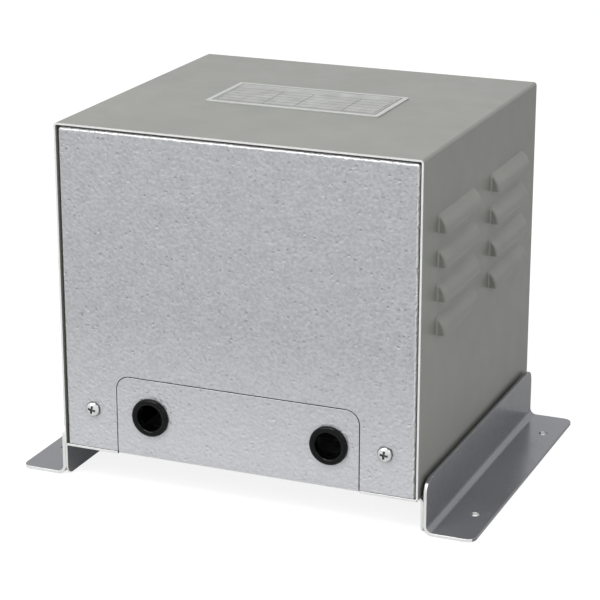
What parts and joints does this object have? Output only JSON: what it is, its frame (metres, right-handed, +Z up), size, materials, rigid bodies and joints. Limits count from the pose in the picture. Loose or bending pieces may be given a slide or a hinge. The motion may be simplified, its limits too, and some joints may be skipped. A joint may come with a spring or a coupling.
{
  "type": "autotransformer",
  "caption": "Cased autotransformer: louvred steel box with a screwed-on front panel, rubber cable outlets low in front and angle feet that bolt to a bench.",
  "frame": {"origin": "on the bench, at the centre of the box round the whole part", "axes": "+X to the right as seen from the front, over both feet; the front panel and its cable outlets face -Y; +Z up"},
  "size_m": [0.296, 0.2155, 0.2258],
  "materials": {
    "cover_paint": "satin grey-green metallic paint",
    "panel_hammertone": "silver hammertone paint",
    "foot_paint": "satin dark grey paint",
    "nameplate_foil": "satin, bare",
    "outlet_rubber": "semi-gloss black rubber",
    "panel_screw_steel": "bright nickel plate",
    "zinc_plate": "zinc-plated steel",
    "lamination_steel": "varnished lamination steel",
    "former_plastic": "moulded nylon",
    "enamelled_copper": "enamelled copper wire",
    "coil_paper": "varnished paper",
    "block_plastic": "black moulded phenolic",
    "terminal_brass": "plated brass"
  },
  "bodies": {
    "root": {"cover": "cover_paint", "tray": "panel_hammertone", "front_panel": "panel_hammertone", "rear_panel": "panel_hammertone", "foot_left": "foot_paint", "foot_right": "foot_paint", "nameplate": "nameplate_foil", "grommet_left": "outlet_rubber", "grommet_right": "outlet_rubber", "panel_screw_left": "panel_screw_steel", "panel_screw_right": "panel_screw_steel", "panel_lug_left": "zinc_plate", "panel_lug_right": "zinc_plate", "panel_nut_left": "zinc_plate", "panel_nut_right": "zinc_plate", "cover_screws": "zinc_plate", "cover_nuts": "zinc_plate", "core": "lamination_steel", "former": "former_plastic", "winding_common": "enamelled_copper", "winding_series": "enamelled_copper", "winding_interlayer": "coil_paper", "winding_wrap": "coil_paper", "clamp_angle_front": "zinc_plate", "clamp_angle_rear": "zinc_plate", "clamp_bar_front": "zinc_plate", "clamp_bar_rear": "zinc_plate", "core_bolts": "zinc_plate", "core_washers": "zinc_plate", "core_nuts": "zinc_plate", "mount_bolts": "zinc_plate", "mount_washers": "zinc_plate", "mount_nuts": "zinc_plate", "terminal_bracket": "zinc_plate", "bracket_screws": "zinc_plate", "bracket_nuts": "zinc_plate", "terminal_block": "block_plastic", "terminal_strips": "terminal_brass", "terminal_screws": "zinc_plate", "block_screws": "zinc_plate", "block_nuts": "zinc_plate", "earth_stud": "terminal_brass", "earth_washer": "terminal_brass", "earth_nut": "terminal_brass"}
  },
  "joints": []
}
